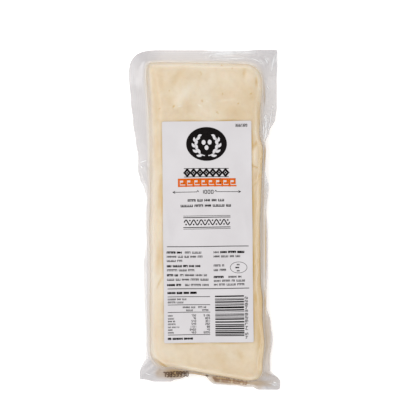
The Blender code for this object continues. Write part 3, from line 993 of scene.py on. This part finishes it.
def ink_material(name, colour, thin):
    """Flat printing ink that lets a little paper through in its thinner grains."""
    material, tree, shader = new_material(name)
    feed(tree, shader, {
        "Base Color": ramp(tree, noise(tree, 1600, 2), [(0.35, colour), (0.75, thin)]),
        "Roughness": 0.6,
        "Specular IOR Level": 0.05,
    })
    return material


# The head of the label: a black oval with a white wreath of two sprigs, and a bold band of linked
# lozenges.
BOLD = 1.5
SPRIG_START, SPRIG_SWEEP = 0.15, 2.2
black = [oval(-0.2, 67.4, 15.6, 13)]
white = []
for hand in (-1, 1):
    stem = np.linspace(0, 1, 24)
    turn = SPRIG_START + SPRIG_SWEEP * stem
    stem_path = np.stack([-0.2 + hand * 8.8 * np.sin(turn), 66.9 - 8.6 * np.cos(turn)], 1)
    white.append(strip(stem_path, 0.34))
    for number in range(9):
        spot, side = 0.1 + 0.108 * number, 1 if number % 2 else -1
        foot = np.array([np.interp(spot, stem, stem_path[:, k]) for k in (0, 1)])
        heading = SPRIG_START + SPRIG_SWEEP * spot + side * (0.8 if number < 8 else 0.1)
        leaf = np.linspace(0, 1, 9)
        curl = heading - side * 0.4 * leaf
        length = (4.9 - 1.2 * spot) * leaf
        path = foot + np.stack([hand * length * np.cos(curl), length * np.sin(curl)], 1)
        white.append(strip(path, 0.95 * np.sin(np.pi * leaf) ** 0.8 + 0.02))
for x, y in ((-2.4, 68.6), (2.2, 68.8), (-0.2, 64.6)):
    white.append(oval(x, y, 1.5, 1.85, 4))
for number in range(7):
    middle = -15.3 + 4.9 * number
    lozenge = [(-2.1, 0), (0, 2.5), (2.1, 0), (0, -2.5), (-2.1, 0)]
    black += outline([(middle + x, 45.4 + y) for x, y in lozenge], BOLD)
    black.append(oval(middle, 45.4, 0.7, 0.7, 2))
black += [straight(-17.8, y, 16.6, y, 0.5) for y in (42.2, 48.6)]

# A bold orange fret below it.
orange = []
for number in range(8):
    left = -21.8 + 5.55 * number
    fret = [(0, 0), (0, 4.9), (4.0, 4.9), (4.0, 1.9), (1.9, 1.9)]
    orange += outline([(left + x, 35.4 + y) for x, y in fret], BOLD)
orange.append(straight(-22.4, 35.3, 22.4, 35.3, 1.1))

# Two fine rules that end in arrows beside a plain number, two rows of ticks, and a band with a
# running wave and dots.
for hand in (-1, 1):
    near, far = hand * 7.6 - 0.5, hand * 26.0 - 0.5
    black.append(straight(near, 30.7, far, 30.7, 0.42))
    black += outline([(far - hand * 1.6, 31.5), (far, 30.7), (far - hand * 1.6, 29.9)], 0.4)
    black += outline([(near, 30.7), (near - hand * 0.7, 31.8), (near - hand * 1.4, 30.7)], 0.4)
black += numerals((1, 0, 0, 0), -4.6, 29.4, 2.5, 2.5, 0.5)
black += tick_row(-14.9, 14, 23.3, 2.3, 31, 0.2)
black += tick_row(-20.3, 19.8, 19.2, 2.3, 32, 0.2)
wave = np.linspace(-18, 16.8, 120)
height = 7.4 + 1.9 * np.sin((wave + 18) * 2 * np.pi / 5.8)
black.append(strip(np.stack([wave, height], 1), 0.42))
for number in range(12):
    black.append(oval(-16.55 + 2.9 * number, 7.4 + (1.5 if number % 2 else -1.5), 0.62, 0.62, 2))
for y, width in ((3.6, 0.6), (11.2, 0.6), (2.4, 0.34), (12.4, 0.34)):
    black.append(straight(-18.6, y, 17.4, y, width))

# The lower half: rules, two columns of tick rows, an oval mark and a table of numbers.
for y, right, width in (
    (-11.1, 31.1, 0.55), (-43.4, 31.3, 0.55), (-49.5, 1.2, 0.45),
    (-55.7, 1.2, 0.45), (-61.4, 1.2, 0.45), (-78.6, 1.0, 0.45),
):
    black.append(straight(-31.3, y, right, y, width))
# Each tick row: left, right, base, and the weight of its ticks. The light ones are lower.
TICK_ROWS = (
    (-31.3, -18.6, -16.4, 0.26), (-17.4, -4, -16.4, 0.17), (-31.3, -0.6, -19.6, 0.17),
    (-31.3, -16.6, -22.8, 0.17), (-31.3, -5, -26.8, 0.26), (-31.3, -9.6, -30, 0.17),
    (-31.3, -22.4, -33.8, 0.26), (-21.4, 0.4, -33.8, 0.17), (-31.3, 1.6, -37.2, 0.17),
    (-31.3, -19.4, -41.3, 0.26), (-17.6, 2.2, -41.3, 0.17), (4.6, 9, -16.4, 0.17),
    (9.8, 30.2, -16.4, 0.3), (4.6, 27, -19.6, 0.17), (4.6, 13.4, -26.6, 0.17),
    (4.6, 15.2, -30, 0.17), (4.6, 14.6, -35.4, 0.26), (15.8, 26.6, -35.4, 0.17),
    (4.6, 29.6, -38.3, 0.17), (4.6, 29, -41.2, 0.17), (-31, -6.2, -47.4, 0.3),
    (-31, -14.4, -52.1, 0.16), (-31, -18.5, -54.5, 0.16), (-19.6, -9.6, -58.3, 0.16),
    (-7.8, 1, -58.3, 0.16), (-17, -9.6, -60.6, 0.16), (-4.8, 1, -60.6, 0.16),
    (-31, -10.6, -82.4, 0.28),
)
for number, (left, right, base, weight) in enumerate(TICK_ROWS):
    black += tick_row(left, right, base, 2 if weight > 0.165 else 1.7, 50 + number, weight)
# The table's rows: the length of the ticks, and the digits in its two columns.
TABLE_ROWS = (
    (4.4, 3, 4), (4.8, 2, 3), (6.2, 3, 3), (7.4, 3, 3), (9.2, 4, 2), (5.4, 4, 2), (5, 3, 4),
)
rng = np.random.default_rng(8)
for row, (length, first, second) in enumerate(TABLE_ROWS):
    base = -64.6 - 2.17 * row
    black += tick_row(-31, -31 + length, base, 1.5, 90 + row, 0.16)
    for right, count in ((-9.4, first), (1.2, second)):
        black += numerals(rng.integers(0, 10, count), right - 1.25 * count, base, 1.4, 1.25, 0.28)
black.append(ring_line(23.4, -27.5, 6.4, 4.2, 0.32))
for number, (left, right, base, height, weight) in enumerate((
    (22.2, 24.8, -25.9, 1.3, 0.2), (21.2, 25.8, -28.2, 1.5, 0.26), (22.2, 24.8, -30.6, 1.3, 0.2),
)):
    black += tick_row(left, right, base, height, 120 + number, weight)

# A code of bars down the right-hand corner, with plain numbers beside it.
rng = np.random.default_rng(17)
y = -48.8
while y > -79.6:
    width = rng.choice([0.36, 0.36, 0.72, 1.08, 1.44])
    black.append(straight(5, y - width / 2, 27.2, y - width / 2, width))
    y -= width + rng.choice([0.4, 0.72, 1.1])
black += numerals(rng.integers(0, 10, 13), 29.9, -81.6, 1.9, 2.5, 0.42, np.pi / 2)

# A packing number from an ink jet in the top right corner.
black += numerals(rng.integers(0, 10, 7), 21.9, 80.4, 1.9, 1.35, 0.36)

for name, runs, lift, colour, thin in (
    ("print_black", black, 0.05, (0.004, 0.003, 0.003), (0.011, 0.008, 0.008)),
    ("print_orange", orange, 0.05, (0.71, 0.12, 0.0005), (0.74, 0.14, 0.003)),
    ("print_white", white, 0.09, (0.76, 0.74, 0.76), (0.70, 0.68, 0.70)),
):
    print_sheet(name, runs, lift, ink_material(name.removeprefix("print_") + " ink", colour, thin))

# The marks that an ink jet left on the film at the foot of the bag: a row of dark numbers on the
# left and a fainter, redder row on the right.


def film_marks(name, runs, material):
    """Strips laid on the seal at the foot, a little above it."""
    points, quads = joined(runs)
    piece = add_piece(name, on_film(points), quads, material)
    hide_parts("bag")


rng = np.random.default_rng(4)
film_marks(
    "film_marks_dark",
    numerals(rng.integers(0, 10, 8), -31.6, -120.7, 3.6, 2.5, 0.75, 0.03)
    + [straight(0.8, -119.6, 3, -120, 1)],
    ink_material("dark jet ink", (0.07, 0.038, 0.024), (0.145, 0.085, 0.05)),
)
film_marks(
    "film_marks_faint",
    numerals(rng.integers(0, 10, 13), 6.4, -124, 4, 2.05, 0.6, -0.1),
    ink_material("faint jet ink", (0.25, 0.13, 0.07), (0.33, 0.2, 0.12)),
)

# The studio: a white sweep that shines a little, a broad soft light from the left, a smaller one
# nearly overhead and an even white sky, with a camera high above the pack.

FLOOR_REACH, FLOOR_DROP = 3000.0, 0.3
CAMERA_HEIGHT, CAMERA_REACH, VIEW_WIDTH = 5.02, 5.0, 0.3226


def floor_material():
    """White paper sweep, with a faint mottle."""
    material, tree, shader = new_material("white sweep")
    stops = [(0.3, (0.95, 0.95, 0.95)), (0.7, (0.97, 0.97, 0.97))]
    feed(tree, shader, {
        "Base Color": ramp(tree, noise(tree, 3, 2), stops),
        "Roughness": 0.9,
        "Emission Color": (1.0, 1.0, 1.0),
        "Emission Strength": 0.36,
    })
    return material


corner = np.array([(-1, -1, 0), (1, -1, 0), (1, 1, 0), (-1, 1, 0)]) * FLOOR_REACH
corner[:, 2] -= FLOOR_DROP
mesh = bpy.data.meshes.new("floor")
mesh.from_pydata((corner * MM).tolist(), [], [(0, 1, 2, 3)])
mesh.materials.append(floor_material())
floor = new_object("floor", mesh)


def soft_light(name, place, size, power):
    """A square soft box that points at the middle of the pack."""
    light = bpy.data.lights.new(name, "AREA")
    light.size = size
    light.energy = power
    holder = new_object(name, light)
    holder.location = place
    holder.rotation_euler = (-holder.location).to_track_quat("-Z", "Y").to_euler()


soft_light("key", (-1.7, 0.3, 2.1), 1.4, 7.3)
soft_light("overhead", (-0.45, 0.2, 1.7), 0.45, 4.0)

world = bpy.data.worlds.new("studio")
world.use_nodes = True
sky = world.node_tree.nodes["Background"]
feed(world.node_tree, sky, {"Color": (1.0, 1.0, 1.0), "Strength": 0.82})
bpy.context.scene.world = world
bpy.context.scene.view_settings.view_transform = "Standard"

camera = bpy.data.cameras.new("camera")
camera.lens = camera.sensor_width * CAMERA_REACH / VIEW_WIDTH
holder = new_object("camera", camera)
holder.location = (0.0042, 0.0077, CAMERA_HEIGHT)
bpy.context.scene.camera = holder
